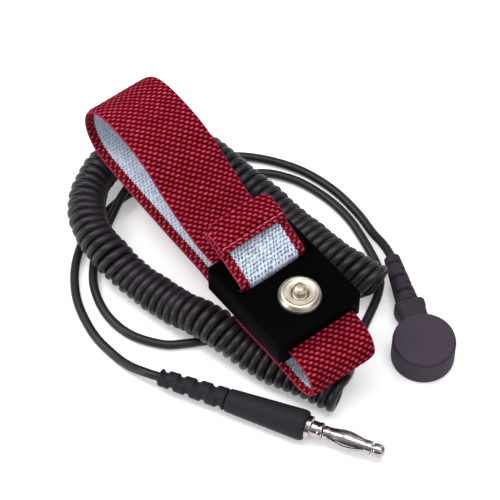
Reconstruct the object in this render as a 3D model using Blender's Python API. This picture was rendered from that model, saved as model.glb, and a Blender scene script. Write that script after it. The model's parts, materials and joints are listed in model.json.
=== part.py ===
"""Anti-static wrist strap with its curly ground cord.

An elastic band runs as one flattened wrist loop through a snap buckle, and lies across a curly cord.
The cord ends in a snap cap on one side and in a 4 mm banana plug on the other.
Metres, +Z up. The origin is the centre of the snap stud's flat top.
+X runs along the strap from the wrist loop to the tail, +Y across it.
The dimensions and routes below are measured from the centre of the skin plate's underside, where buckle_frame stands.
"""

import math

import bmesh
import bpy
from mathutils import Matrix, Vector

# ---------------------------------------------------------------- driving dimensions

GAP = 0.0003  # clearance between touching pieces
FLOOR = -0.0172  # height of the surface that the cord lies on

BAND_WIDTH = 0.020
BAND_THICK = 0.0012

BOX_LENGTH = 0.030
BOX_WIDTH = 0.026
BOX_BOTTOM = 0.0003
BOX_TOP = 0.008
BOX_WALL = 0.0013
BOX_ROOF = 0.0012
BOX_CORNER = 0.0018
BAND_OPENING = 0.0212  # width of the buckle's openings, along Y
SLOT_X = (-0.0058, -0.0029)  # the slot in the roof that the free end comes out of
ENTRY_Z = (0.0047, 0.0068)  # the opening for the wrist loop, in the -X wall
EXIT_Z = (0.0016, 0.0041)  # the opening for the tail, in the +X wall

PLATE_THICK = 0.0005
PLATE_SIZE = (0.0262, 0.0222)
PLATE_CORNER = 0.0030
BASE_Z = (0.0008, 0.0020)
STAKE_AT = (0.0108, 0.0088)
STAKE_RADIUS = 0.0007

STUD_X = 0.0062
STUD_SEAT = BOX_TOP + GAP
STUD_TOP = 0.0126
RIVET_RADIUS = 0.0014
RIVET_FOOT = 0.0032

CAM_X, CAM_Z = -0.0090, 0.0036
CAM_PIN_RADIUS = 0.0005
CAM_BORE = 0.0006
CAM_HALF_WIDTH = 0.0095

FREE_HINGE = (-0.0044, 0.0081)  # x and z of the line that the free end bends about
HEM_LENGTH = 0.0072

CORD_DIAMETER = 0.0024
COIL_DIAMETER = 0.0106
TUBE_STEP = 0.0062  # between the points of a cord's tube

CAP_CENTRE = (0.02655, 0.0245)
CAP_RADIUS = 0.0081
CAP_HEIGHT = 0.0082
CAP_HEADING = math.radians(155.8)  # from the cap's centre to its cord
CAP_AXIS = 0.0040  # height of the neck's centreline above the floor
NECK_END = 0.0136
CAP_BOOT = (0.0139, 0.0290)

PLUG_START = (-0.00765, -0.0335)  # where the cord meets the plug's boot
PLUG_HEADING = math.radians(30.5)
PLUG_AXIS = 0.00405
PLUG_BOOT_END = 0.0182
HANDLE_END = 0.0394
CAGE_Z = (0.0440, 0.0561)
TIP_END = 0.0600

# ---------------------------------------------------------------- routes, chosen by hand

# The band's centreline in X and Z: from its riveted end, round the tail, under the buckle,
# round the wrist loop, into the buckle and up into the slot.
BAND_ROUTE = [
    (0.0008, 0.0029), (0.0080, 0.0029), (0.0140, 0.0028), (0.0185, 0.0022), (0.0222, 0.0003),
    (0.0243, -0.0022), (0.0240, -0.0045), (0.0215, -0.0056), (0.0170, -0.0056), (0.0110, -0.0052),
    (0.0050, -0.0049), (-0.0020, -0.0048), (-0.0100, -0.0051), (-0.0200, -0.0054),
    (-0.0320, -0.0048), (-0.0440, -0.0037), (-0.0560, -0.0016), (-0.0630, -0.0004),
    (-0.0675, 0.0018), (-0.0702, 0.0056), (-0.0708, 0.0100), (-0.0692, 0.0145),
    (-0.0650, 0.0178), (-0.0585, 0.0193), (-0.0500, 0.0186), (-0.0430, 0.0163), (-0.0360, 0.0124),
    (-0.0280, 0.0083), (-0.0210, 0.0063), (-0.0150, 0.0059), (-0.0110, 0.0058), (-0.0080, 0.0056),
    (-0.0060, 0.0057), (-0.0048, 0.0064), (-0.0045, 0.0070),
]

# The free end's centreline: out of the slot, back over the buckle, then folded over as a hem.
FREE_ROUTE = [
    (-0.0044, 0.0081), (-0.0046, 0.0087), (-0.0054, 0.0093), (-0.0070, 0.0101),
    (-0.0095, 0.0114), (-0.0125, 0.0129), (-0.0160, 0.0145), (-0.0190, 0.0157),
]

# The cord's straight lengths: X, Y and height above the floor.
PLUG_SIDE_ROUTE = [
    (-0.00795, -0.03370, 0.0040), (-0.01155, -0.03560, 0.0036), (-0.01615, -0.03700, 0.0022),
    (-0.02165, -0.03780, 0.00125), (-0.02975, -0.03820, 0.00125), (-0.03925, -0.03620, 0.00125),
    (-0.04665, -0.03250, 0.00125), (-0.05265, -0.02740, 0.00125), (-0.05745, -0.02060, 0.00125),
    (-0.06005, -0.01210, 0.00125), (-0.06125, -0.00560, 0.00125), (-0.06045, 0.00040, 0.00125),
    (-0.05715, 0.00690, 0.00125), (-0.05235, 0.01410, 0.00125), (-0.04855, 0.02170, 0.00125),
    (-0.04435, 0.02890, 0.00125), (-0.03865, 0.03330, 0.00125), (-0.03265, 0.03570, 0.00125),
    (-0.02515, 0.03710, 0.00125), (-0.01805, 0.03710, 0.00125), (-0.01265, 0.03620, 0.00125),
    (-0.00765, 0.03500, 0.00125), (-0.00315, 0.03370, 0.00125), (0.00065, 0.03200, 0.00125),
    (0.00385, 0.02930, 0.00125), (0.00645, 0.02590, 0.00125), (0.00865, 0.02210, 0.00125),
    (0.01095, 0.01800, 0.00125), (0.01415, 0.01310, 0.00125), (0.01765, 0.00790, 0.00125),
    (0.02130, 0.00215, 0.00125),
]
CAP_SIDE_ROUTE = [
    (0.00135, 0.02080, 0.00125), (0.00325, 0.01590, 0.00125), (0.00450, 0.01000, 0.00125),
    (0.00450, 0.00400, 0.00125), (0.00200, -0.00200, 0.00125), (-0.00200, -0.00700, 0.00125),
    (-0.00650, -0.01150, 0.00125), (-0.01020, -0.01600, 0.00125), (-0.01300, -0.02100, 0.00125),
    (-0.01650, -0.02600, 0.00125), (-0.02405, -0.03080, 0.00125), (-0.03265, -0.03200, 0.00125),
    (-0.04115, -0.02990, 0.00125), (-0.04745, -0.02580, 0.00125), (-0.05295, -0.02010, 0.00125),
    (-0.05675, -0.01370, 0.0023), (-0.05995, -0.00760, 0.0040), (-0.06185, -0.00260, 0.0043),
    (-0.06275, 0.00290, 0.0034), (-0.06225, 0.00890, 0.0015), (-0.06005, 0.01490, 0.00125),
    (-0.05735, 0.02090, 0.00125), (-0.05355, 0.02670, 0.00125), (-0.04835, 0.03170, 0.00125),
    (-0.04195, 0.03590, 0.00125), (-0.03575, 0.03850, 0.00125), (-0.02735, 0.04020, 0.00125),
    (-0.01805, 0.04020, 0.00125), (-0.01065, 0.03900, 0.0016), (-0.00515, 0.03800, 0.0031),
    (-0.00040, 0.03660, 0.0040),
]
COIL_ROUTE = [
    (0.02485, -0.00160, 0.0053), (0.01435, -0.00630, 0.0053), (0.00885, -0.00880, 0.0053),
    (0.00235, -0.01130, 0.0057), (-0.00465, -0.01350, 0.0073), (-0.00750, -0.01430, 0.0079),
    (-0.01215, -0.01570, 0.0079), (-0.01650, -0.01690, 0.0071), (-0.02165, -0.01830, 0.0059),
    (-0.03365, -0.02110, 0.0059), (-0.04315, -0.02250, 0.0077), (-0.05215, -0.02210, 0.0081),
    (-0.05935, -0.01910, 0.0081), (-0.06495, -0.01370, 0.0081), (-0.06875, -0.00630, 0.0079),
    (-0.07055, 0.00190, 0.0078), (-0.06915, 0.00990, 0.0079), (-0.06365, 0.01540, 0.0081),
    (-0.05515, 0.01750, 0.0081), (-0.04565, 0.01880, 0.0080), (-0.03415, 0.02080, 0.0064),
    (-0.02215, 0.02210, 0.0056), (-0.01000, 0.02300, 0.0066), (-0.00200, 0.02400, 0.0077),
    (0.00580, 0.02580, 0.0082),
]

# ---------------------------------------------------------------- materials


def make_look(name, colour, roughness, metallic=0.0):
    look = bpy.data.materials.new(name)
    look.use_nodes = True
    shader = look.node_tree.nodes["Principled BSDF"]
    shader.inputs["Base Color"].default_value = (*colour, 1.0)
    shader.inputs["Roughness"].default_value = roughness
    shader.inputs["Metallic"].default_value = metallic
    look.diffuse_color = (*colour, 1.0)
    return look


def make_looks():
    return {
        "webbing": make_look("red_webbing", (0.42, 0.02, 0.05), 0.9),
        "housing": make_look("black_plastic", (0.01, 0.01, 0.012), 0.35),
        "rubber": make_look("black_rubber", (0.045, 0.042, 0.05), 0.55),
        "cord": make_look("cord_jacket", (0.035, 0.033, 0.04), 0.5),
        "nickel": make_look("nickel_plate", (0.66, 0.62, 0.58), 0.25, 1.0),
        "steel": make_look("stainless_steel", (0.6, 0.6, 0.6), 0.3, 1.0),
        "spring": make_look("spring_brass", (0.75, 0.65, 0.45), 0.3, 1.0),
        "copper": make_look("tinsel_copper", (0.72, 0.38, 0.22), 0.35, 1.0),
        "ceramic": make_look("resistor_ceramic", (0.55, 0.42, 0.28), 0.6),
    }


# ---------------------------------------------------------------- building blocks


def add_object(name, mesh, look, parent=None):
    """Adds a piece to a parent frame, which is the buckle's if none is given."""
    mesh.materials.append(look)
    obj = bpy.data.objects.new(name, mesh)
    obj.parent = parent or bpy.data.objects["buckle_frame"]
    bpy.context.scene.collection.objects.link(obj)
    return obj


def finish_mesh(name, bm, sharp_angle=math.radians(35)):
    bmesh.ops.recalc_face_normals(bm, faces=bm.faces)
    mesh = bpy.data.meshes.new(name)
    bm.to_mesh(mesh)
    bm.free()
    mesh.shade_smooth()
    mesh.set_sharp_from_angle(angle=sharp_angle)
    return mesh


def add_frame(name, location, rotation=(0.0, 0.0, 0.0)):
    """Adds an empty to hold pieces. All but the first stand in the buckle's frame."""
    buckle_frame = bpy.data.objects.get("buckle_frame")
    frame = bpy.data.objects.new(name, None)
    frame.location = location
    frame.rotation_euler = rotation
    frame.parent = buckle_frame
    bpy.context.scene.collection.objects.link(frame)
    return frame


def turned_mesh(name, outline, sides=32):
    """A profile of (radius, height) points turned about Z. One that starts off the axis closes into a ring."""
    bm = bmesh.new()
    turns = [2 * math.pi * i / sides for i in range(sides)]
    rings = []
    for radius, height in outline:
        around = turns if radius else [0.0]
        ring = [(radius * math.cos(a), radius * math.sin(a), height) for a in around]
        rings.append([bm.verts.new(point) for point in ring])
    following = rings[1:] + (rings[:1] if outline[0][0] else [])
    for ring, after in zip(rings, following):
        for i in range(sides):
            j = i + 1
            corners = (ring[i % len(ring)], ring[j % len(ring)], after[j % len(after)], after[i % len(after)])
            bm.faces.new(dict.fromkeys(corners))
    return finish_mesh(name, bm)


def extruded_mesh(name, outline, low, high, axis="Z"):
    """An outline pushed from low to high. Its points are X and Y for axis Z, or X and Z for axis Y."""
    bm = bmesh.new()
    ends = []
    for at in (low, high):
        points = [(a, b, at) if axis == "Z" else (a, at, b) for a, b in outline]
        ends.append([bm.verts.new(point) for point in points])
    bm.faces.new(ends[0])
    bm.faces.new(ends[1])
    for i in range(len(outline)):
        j = (i + 1) % len(outline)
        bm.faces.new((ends[0][i], ends[0][j], ends[1][j], ends[1][i]))
    return finish_mesh(name, bm)


def rectangle(low, high, corner=0.0, steps=1):
    """A rectangle's outline; a corner is a chamfer with one step and an arc with more."""
    if not corner:
        return [low, (high[0], low[1]), high, (low[0], high[1])]
    centres = [
        (high[0] - corner, high[1] - corner), (low[0] + corner, high[1] - corner),
        (low[0] + corner, low[1] + corner), (high[0] - corner, low[1] + corner),
    ]
    points = []
    for quarter, (x, y) in enumerate(centres):
        for i in range(steps + 1):
            a = math.pi / 2 * (quarter + i / steps)
            points.append((x + corner * math.cos(a), y + corner * math.sin(a)))
    return points


def ribbon_mesh(name, path, width, thickness):
    """A strip of even thickness along a path in X and Z, centred on Y."""
    bm = bmesh.new()
    sections = []
    for i, (x, z) in enumerate(path):
        before = Vector(path[max(i - 1, 0)])
        along = (Vector(path[min(i + 1, len(path) - 1)]) - before).normalized()
        across = Vector((-along.y, along.x)) * thickness / 2
        corners = [(across, 1), (across, -1), (-across, -1), (-across, 1)]
        sections.append([bm.verts.new((x + side.x, end * width / 2, z + side.y)) for side, end in corners])
    for section, after in zip(sections, sections[1:]):
        for i in range(4):
            j = (i + 1) % 4
            bm.faces.new((section[i], section[j], after[j], after[i]))
    bm.faces.new(sections[0])
    bm.faces.new(sections[-1])
    return finish_mesh(name, bm)


def smooth_points(route, step):
    """Points about a step apart on a Catmull-Rom curve through the route's points."""
    knots = [Vector(point) for point in route]
    knots = [2 * knots[0] - knots[1], *knots, 2 * knots[-1] - knots[-2]]
    fine = []
    for a, b, c, d in zip(knots, knots[1:], knots[2:], knots[3:]):
        for i in range(20):
            t = i / 20
            fine.append(((2 * b) + (c - a) * t + (2 * a - 5 * b + 4 * c - d) * t**2 + (3 * b - a - 3 * c + d) * t**3) / 2)
    fine.append(knots[-2])
    lengths = [0.0]
    for a, b in zip(fine, fine[1:]):
        lengths.append(lengths[-1] + (b - a).length)
    count = max(2, round(lengths[-1] / step))
    points, k = [], 0
    for i in range(count + 1):
        wanted = lengths[-1] * i / count
        while k < len(fine) - 2 and lengths[k + 1] < wanted:
            k += 1
        part = (wanted - lengths[k]) / max(lengths[k + 1] - lengths[k], 1e-9)
        points.append(fine[k].lerp(fine[k + 1], min(max(part, 0.0), 1.0)))
    return points


def add_tube(name, points, diameter, look, parent=None, resolution=2):
    curve = bpy.data.curves.new(name, "CURVE")
    curve.dimensions = "3D"
    curve.bevel_depth = diameter / 2
    curve.bevel_resolution = resolution
    curve.use_fill_caps = True
    spline = curve.splines.new("POLY")
    spline.points.add(len(points) - 1)
    for place, point in zip(spline.points, points):
        place.co = (*point, 1.0)
    return add_object(name, curve, look, parent)


def add_change(target, tool_mesh, operation, matrix=None):
    """Cuts a mesh from an object or joins it on, with a Boolean that stays on the object."""
    tool = bpy.data.objects.new(f"{target.name}_{tool_mesh.name}", tool_mesh)
    bpy.context.scene.collection.objects.link(tool)
    tool.parent = target.parent
    tool.matrix_local = matrix or Matrix.Identity(4)
    tool.hide_render = True
    tool.display_type = "WIRE"
    change = target.modifiers.new(tool_mesh.name, "BOOLEAN")
    change.operation = operation
    change.solver = "EXACT"
    change.object = tool


def cut_box(target, name, low, high):
    outline = rectangle(low[:2], high[:2])
    add_change(target, extruded_mesh(name, outline, low[2], high[2]), "DIFFERENCE")


def cut_hole(target, name, radius, low, high, matrix=None, sides=24):
    outline = [(0.0, high), (radius, high), (radius, low), (0.0, low)]
    add_change(target, turned_mesh(name, outline, sides), "DIFFERENCE", matrix)


# ---------------------------------------------------------------- strap and buckle


def add_band(looks):
    path = [tuple(point) for point in smooth_points(BAND_ROUTE, 0.0019)]
    band = add_object("band", ribbon_mesh("band", path, BAND_WIDTH, BAND_THICK), looks["webbing"])
    cut_hole(band, "rivet_hole", RIVET_RADIUS + GAP, 0.0018, 0.0045, Matrix.Translation((STUD_X, 0, 0)))


def hem_route():
    """The free end's path, with the fold at its far end and the layer that lies back on top."""
    flap = [Vector(point) for point in FREE_ROUTE]
    along = (flap[-1] - flap[-2]).normalized()
    up = Vector((along.y, -along.x))
    spacing = BAND_THICK + 2 * GAP
    centre = flap[-1] + up * spacing / 2
    fold = []
    for i in range(1, 8):
        a = math.pi * i / 8
        fold.append(centre - up * math.cos(a) * spacing / 2 + along * math.sin(a) * spacing / 2)
    back = [flap[-1] + up * spacing - along * HEM_LENGTH * share for share in (0.0, 0.5, 1.0)]
    return flap, fold + back


def add_free_end(looks):
    flap, hem = hem_route()
    path = [tuple(point) for point in smooth_points(flap, 0.0011)] + [tuple(point) for point in hem]
    x, z = FREE_HINGE
    local = [(a - x, b - z) for a, b in path]
    free_end = add_object("free_end", ribbon_mesh("free_end", local, BAND_WIDTH, BAND_THICK), looks["webbing"])
    free_end.location = (x, 0, z)


def add_housing_cover(looks):
    half = (BOX_LENGTH / 2, BOX_WIDTH / 2)
    outline = rectangle((-half[0], -half[1]), half, BOX_CORNER)
    bevel = 0.0005
    inner = rectangle((-half[0] + bevel, -half[1] + bevel), (half[0] - bevel, half[1] - bevel), BOX_CORNER)
    bm = bmesh.new()
    levels = [(outline, BOX_BOTTOM), (outline, BOX_TOP - bevel), (inner, BOX_TOP)]
    rings = [[bm.verts.new((x, y, z)) for x, y in points] for points, z in levels]
    for ring, after in zip(rings, rings[1:]):
        for i in range(len(ring)):
            j = (i + 1) % len(ring)
            bm.faces.new((ring[i], ring[j], after[j], after[i]))
    bm.faces.new(rings[0])
    bm.faces.new(rings[-1])
    cover = add_object("housing_cover", finish_mesh("housing_cover", bm), looks["housing"])
    inside = (half[0] - BOX_WALL, half[1] - BOX_WALL)
    below = BOX_BOTTOM - 0.001
    cut_box(cover, "cavity", (-inside[0], -inside[1], below), (*inside, BOX_TOP - BOX_ROOF))
    side = BAND_OPENING / 2
    cut_box(cover, "entry", (-half[0] - 0.001, -side, ENTRY_Z[0]), (-inside[0] + 0.001, side, ENTRY_Z[1]))
    cut_box(cover, "exit", (inside[0] - 0.001, -side, EXIT_Z[0]), (half[0] + 0.001, side, EXIT_Z[1]))
    cut_box(cover, "slot", (SLOT_X[0], -side, 0.006), (SLOT_X[1], side, BOX_TOP + 0.001))
    cut_hole(cover, "stud_hole", RIVET_RADIUS + GAP, 0.006, BOX_TOP + 0.001, Matrix.Translation((STUD_X, 0, 0)))
    across = Matrix.Translation((CAM_X, 0, CAM_Z)) @ Matrix.Rotation(math.pi / 2, 4, "X")
    cut_hole(cover, "pin_seats", CAM_PIN_RADIUS + GAP, -0.0127, 0.0127, across)


def add_housing_base(looks):
    half = (BOX_LENGTH / 2 - BOX_WALL - GAP, BOX_WIDTH / 2 - BOX_WALL - GAP)
    outline = rectangle((-half[0], -half[1]), half, 0.001)
    base = add_object("housing_base", extruded_mesh("housing_base", outline, *BASE_Z), looks["housing"])
    for x in (-STAKE_AT[0], STAKE_AT[0]):
        for y in (-STAKE_AT[1], STAKE_AT[1]):
            profile = [(0.0, 0.0012), (STAKE_RADIUS, 0.0012), (STAKE_RADIUS, 0.0002), (0.0, 0.0002)]
            add_change(base, turned_mesh("stake", profile, 16), "UNION", Matrix.Translation((x, y, 0)))
    cut_hole(base, "rivet_well", RIVET_FOOT + GAP, 0.0, 0.003, Matrix.Translation((STUD_X, 0, 0)))


def add_skin_plate(looks):
    half = (PLATE_SIZE[0] / 2, PLATE_SIZE[1] / 2)
    outline = rectangle((-half[0], -half[1]), half, PLATE_CORNER, 5)
    plate = add_object("skin_plate", extruded_mesh("skin_plate", outline, 0.0, PLATE_THICK), looks["steel"])
    for x in (-STAKE_AT[0], STAKE_AT[0]):
        for y in (-STAKE_AT[1], STAKE_AT[1]):
            cut_hole(plate, "stake_hole", STAKE_RADIUS + GAP, -0.001, 0.002, Matrix.Translation((x, y, 0)), 16)


def add_stud(looks):
    bore, bore_top = RIVET_RADIUS + GAP, 0.0092
    outline = [
        (0.0, STUD_TOP), (0.0011, STUD_TOP), (0.0018, 0.0122), (0.0020, 0.0117), (0.0019, 0.0113),
        (0.0016, 0.0110), (0.0016, 0.0103), (0.0024, 0.0101), (0.0034, 0.0102), (0.0040, 0.0106),
        (0.0045, 0.0107), (0.0050, 0.0105), (0.0054, 0.0099), (0.0055, 0.0090), (0.0054, STUD_SEAT),
        (bore, STUD_SEAT), (bore, bore_top), (0.0, bore_top),
    ]
    stud = add_object("snap_stud", turned_mesh("snap_stud", outline), looks["nickel"])
    stud.location = (STUD_X, 0, 0)
    outline = [
        (0.0, bore_top - GAP), (RIVET_RADIUS, bore_top - GAP), (RIVET_RADIUS, 0.0013),
        (RIVET_FOOT, 0.0012), (RIVET_FOOT, 0.0008), (0.0, 0.0008),
    ]
    rivet = add_object("stud_rivet", turned_mesh("stud_rivet", outline, 24), looks["nickel"])
    rivet.location = (STUD_X, 0, 0)


def add_retainer_plate(looks):
    outline = rectangle((0.0016, -0.0085), (0.0110, 0.0085), 0.001)
    low = 0.0029 + BAND_THICK / 2 + GAP
    plate = add_object("retainer_plate", extruded_mesh("retainer_plate", outline, low, low + 0.0005), looks["steel"])
    cut_hole(plate, "rivet_hole", RIVET_RADIUS + GAP, 0.002, 0.006, Matrix.Translation((STUD_X, 0, 0)))


def cam_outline():
    """The cam's section about its pin: a rounded body with a toothed nose on top and a release arm to -X."""
    body, nose = 0.00125, 0.0014
    points = []
    for i in range(0, 33):
        a = math.radians(-150 + 9.375 * i)
        lift = max(0.0, math.cos(2 * (a - math.pi / 2)))
        tooth = -0.00008 if i % 2 else 0.0
        reach = body + (nose - body + tooth) * lift
        if math.degrees(a) > 140:
            break
        points.append((reach * math.cos(a), reach * math.sin(a)))
    return points + [(-0.0040, 0.0004), (-0.0042, 0.0001), (-0.0040, -0.0003), (-0.0013, -0.0004)]


def add_clamp_cam(looks):
    cam = add_object(
        "clamp_cam",
        extruded_mesh("clamp_cam", cam_outline(), -CAM_HALF_WIDTH, CAM_HALF_WIDTH, "Y"),
        looks["steel"],
    )
    cam.location = (CAM_X, 0, CAM_Z)
    turn = Matrix.Rotation(math.pi / 2, 4, "X")
    cut_hole(cam, "bore", CAM_BORE, -0.012, 0.012, Matrix.Translation(cam.location) @ turn)
    outline = [(0.0, 0.0124), (CAM_PIN_RADIUS, 0.0124), (CAM_PIN_RADIUS, -0.0124), (0.0, -0.0124)]
    pin = add_object("cam_pin", turned_mesh("cam_pin", outline, 16), looks["steel"])
    pin.location = (CAM_X, 0, CAM_Z)
    pin.rotation_euler = (math.pi / 2, 0, 0)


# ---------------------------------------------------------------- snap cap


def ribbed_boot(start, end, start_radius, end_radius, bore, ribs):
    """A tapered sleeve's closed outline with a groove after each rib."""
    pitch = (end - start) / ribs
    groove, depth = 0.28 * pitch, 0.00045

    def radius_at(z):
        return start_radius + (end_radius - start_radius) * (z - start) / (end - start)

    outer = []
    for i in range(ribs):
        low = start + pitch * i
        high = low + pitch - groove
        outer += [(radius_at(low), low), (radius_at(high), high)]
        if i < ribs - 1:
            outer += [(radius_at(high) - depth, high), (radius_at(low + pitch) - depth, low + pitch)]
    outer[-1] = (radius_at(end), end)
    return [(bore, start), *outer, (bore, end)]


def add_cap_shell(looks, cap, cord_axis):
    height, wall_in = CAP_HEIGHT, 0.0063
    outline = [
        (0.0, height), (CAP_RADIUS - 0.0006, height), (CAP_RADIUS, height - 0.0006), (CAP_RADIUS, 0.0003),
        (CAP_RADIUS - 0.0003, 0.0), (wall_in, 0.0), (wall_in, 0.0062), (0.0, 0.0062),
    ]
    shell = add_object("cap_shell", turned_mesh("cap_shell", outline), looks["rubber"], cap)
    neck = [
        (0.0, 0.0070), (0.0039, 0.0070), (0.0039, 0.0115), (0.0033, NECK_END), (0.0, NECK_END),
    ]
    add_change(shell, turned_mesh("neck", neck, 24), "UNION", cord_axis)
    cut_hole(shell, "neck_bore", 0.0016, 0.0050, 0.0150, cord_axis, 16)


def add_snap_socket(looks, cap):
    outline = [
        (0.0, 0.0030), (0.0031, 0.0030), (0.0033, 0.0028), (0.0033, 0.0010), (0.0046, 0.0010),
        (0.0046, 0.0005), (0.00215, 0.0005), (0.00215, 0.0009), (0.00285, 0.0009), (0.00285, 0.0019),
        (0.00215, 0.0019), (0.00215, 0.0025), (0.0, 0.0025),
    ]
    add_object("snap_socket", turned_mesh("snap_socket", outline, 24), looks["nickel"], cap)
    wire, ring = 0.0002, 0.00235
    loop = [2 * math.pi * i / 8 for i in range(8)]
    outline = [(ring + wire * math.cos(a), 0.0014 + wire * math.sin(a)) for a in loop]
    add_object("socket_spring", turned_mesh("socket_spring", outline, 24), looks["spring"], cap)
    outline = [(0.0036, 0.0013), (0.0060, 0.0013), (0.0060, 0.0023), (0.0036, 0.0023)]
    add_object("socket_carrier", turned_mesh("socket_carrier", outline), looks["housing"], cap)


def add_resistor(looks, cap, along_cord):
    outline = [
        (0.0, -0.0030), (0.0008, -0.0030), (0.0010, -0.0027), (0.0010, 0.0017), (0.0008, 0.0020), (0.0, 0.0020),
    ]
    body = add_object("resistor_body", turned_mesh("resistor_body", outline, 16), looks["ceramic"], cap)
    body.matrix_local = Matrix.Translation((0, 0, 0.0047)) @ along_cord
    to_socket = [
        (-0.0033, 0, 0.0047), (-0.0041, 0, 0.0046), (-0.0046, 0, 0.0041), (-0.0042, 0, 0.0037), (-0.0030, 0, 0.0036),
    ]
    add_tube("resistor_lead_socket", smooth_points(to_socket, 0.0006), 0.0005, looks["copper"], cap)
    to_cord = [(0.0023, 0, 0.0047), (0.0036, 0, 0.0046), (0.0050, 0, 0.0041), (0.0065, 0, CAP_AXIS)]
    add_tube("resistor_lead_cord", smooth_points(to_cord, 0.0009), 0.0005, looks["copper"], cap)


def add_cap(looks):
    cap = add_frame("cap_frame", (*CAP_CENTRE, FLOOR), (0, 0, CAP_HEADING))
    along_cord = Matrix.Rotation(math.pi / 2, 4, "Y")
    cord_axis = Matrix.Translation((0, 0, CAP_AXIS)) @ along_cord
    add_cap_shell(looks, cap, cord_axis)
    add_snap_socket(looks, cap)
    add_resistor(looks, cap, along_cord)
    outline = [(0.0, 0.0068), (0.0009, 0.0068), (0.0009, 0.0104), (0.0, 0.0104)]
    ferrule = add_object("cap_ferrule", turned_mesh("cap_ferrule", outline, 16), looks["nickel"], cap)
    ferrule.matrix_local = cord_axis
    outline = ribbed_boot(*CAP_BOOT, 0.0030, 0.0020, 0.0009, 5)
    boot = add_object("cap_boot", turned_mesh("cap_boot", outline, 24), looks["rubber"], cap)
    boot.matrix_local = cord_axis
    outline = [(0.0, 0.0107), (0.0005, 0.0107), (0.0005, 0.0286), (0.0, 0.0286)]
    wire = add_object("cap_wire", turned_mesh("cap_wire", outline, 8), looks["copper"], cap)
    wire.matrix_local = cord_axis


# ---------------------------------------------------------------- banana plug


def cage_outline():
    """The spring cage's closed outline: a thin sleeve that bulges between its end rings."""
    low, high = CAGE_Z
    ring, bulge, wall, steps = 0.00150, 0.00085, 0.00032, 12
    inner = []
    for i in range(steps + 1):
        share = i / steps
        swell = math.sin(math.pi * min(max((share - 0.1) / 0.8, 0.0), 1.0)) ** 2
        inner.append((ring + bulge * swell, low + (high - low) * share))
    outer = [(radius + wall, z) for radius, z in reversed(inner)]
    return inner + outer


def add_spring_cage(looks, axis):
    outline = [(radius, z - CAGE_Z[0]) for radius, z in cage_outline()]
    cage = add_object("spring_cage", turned_mesh("spring_cage", outline, 24), looks["nickel"], axis)
    cage.location = (0, 0, CAGE_Z[0])
    half = 0.00042
    for turn in (0, 1):
        slot = rectangle((-half, -0.004), (half, 0.004))
        mesh = extruded_mesh("leaf_slots", slot, 0.0015, CAGE_Z[1] - CAGE_Z[0] - 0.0015)
        place = Matrix.Translation((0, 0, CAGE_Z[0])) @ Matrix.Rotation(math.pi / 2 * turn + 0.13, 4, "Z")
        add_change(cage, mesh, "DIFFERENCE", place)


def add_plug_body(looks, axis):
    cup_start, shoulder, core = 0.0233, 0.0397, 0.0012
    outline = [
        (0.0, cup_start), (0.0015, cup_start), (0.0015, shoulder), (0.0029, shoulder), (0.0029, 0.0406),
        (0.0019, 0.0406), (0.0019, 0.0437), (core, 0.0437), (core, 0.0564), (0.0008, 0.0564), (0.0008, 0.0585),
        (0.0, 0.0585),
    ]
    add_object("plug_body", turned_mesh("plug_body", outline), looks["nickel"], axis)
    tip, bore = 0.00175, 0.0011
    outline = [(0.0, TIP_END), (0.0007, TIP_END - 0.0001), (0.0013, TIP_END - 0.0004), (0.0016, TIP_END - 0.0008)]
    outline += [(tip, TIP_END - 0.0013), (tip, 0.0569), (bore, 0.0569), (bore, 0.0588), (0.0, 0.0588)]
    add_object("plug_tip", turned_mesh("plug_tip", outline, 24), looks["nickel"], axis)


def add_plug(looks):
    place = (*PLUG_START, FLOOR + PLUG_AXIS)
    axis = add_frame("plug_axis", place, (0, math.pi / 2, PLUG_HEADING))
    outline = ribbed_boot(0.0, PLUG_BOOT_END, 0.0022, 0.0029, 0.0009, 6)
    add_object("plug_boot", turned_mesh("plug_boot", outline, 24), looks["rubber"], axis)
    start, end, bore = PLUG_BOOT_END + GAP, HANDLE_END, 0.0019
    outline = [
        (bore, start), (0.0029, start), (0.0040, end - 0.0006), (0.0034, end), (bore, end),
    ]
    add_object("plug_handle", turned_mesh("plug_handle", outline), looks["rubber"], axis)
    outline = [(0.0, 0.0190), (0.0009, 0.0190), (0.0009, 0.0230), (0.0, 0.0230)]
    add_object("plug_ferrule", turned_mesh("plug_ferrule", outline, 16), looks["nickel"], axis)
    outline = [(0.0, 0.0004), (0.0005, 0.0004), (0.0005, 0.0187), (0.0, 0.0187)]
    add_object("plug_wire", turned_mesh("plug_wire", outline, 8), looks["copper"], axis)
    add_plug_body(looks, axis)
    add_spring_cage(looks, axis)


# ---------------------------------------------------------------- cord


def on_floor(route):
    return [(x, y, FLOOR + height) for x, y, height in route]


def add_cords(looks):
    for name, route in (("cord_plug_side", PLUG_SIDE_ROUTE), ("cord_cap_side", CAP_SIDE_ROUTE)):
        points = smooth_points(on_floor(route), TUBE_STEP)
        add_tube(name, points, CORD_DIAMETER, looks["cord"])
    points = smooth_points(on_floor(COIL_ROUTE), COIL_DIAMETER / 2.2)
    add_tube("cord_coil", points, COIL_DIAMETER, looks["cord"], resolution=4)


def main():
    for obj in list(bpy.data.objects):
        bpy.data.objects.remove(obj, do_unlink=True)
    add_frame("buckle_frame", (-STUD_X, 0, -STUD_TOP))
    looks = make_looks()
    add_band(looks)
    add_free_end(looks)
    add_housing_cover(looks)
    add_housing_base(looks)
    add_skin_plate(looks)
    add_stud(looks)
    add_retainer_plate(looks)
    add_clamp_cam(looks)
    add_cap(looks)
    add_plug(looks)
    add_cords(looks)


main()
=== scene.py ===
"""Looks of the anti-static wrist strap: woven elastic band, snap buckle, curly cord, snap cap, banana plug.

Metres, in the frame of the CAD model. Weave and stitch sizes are in millimetres, as their UV maps are.
"""

import json
import math

import bmesh
import bpy
import numpy as np
from mathutils import Matrix, Vector


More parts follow.
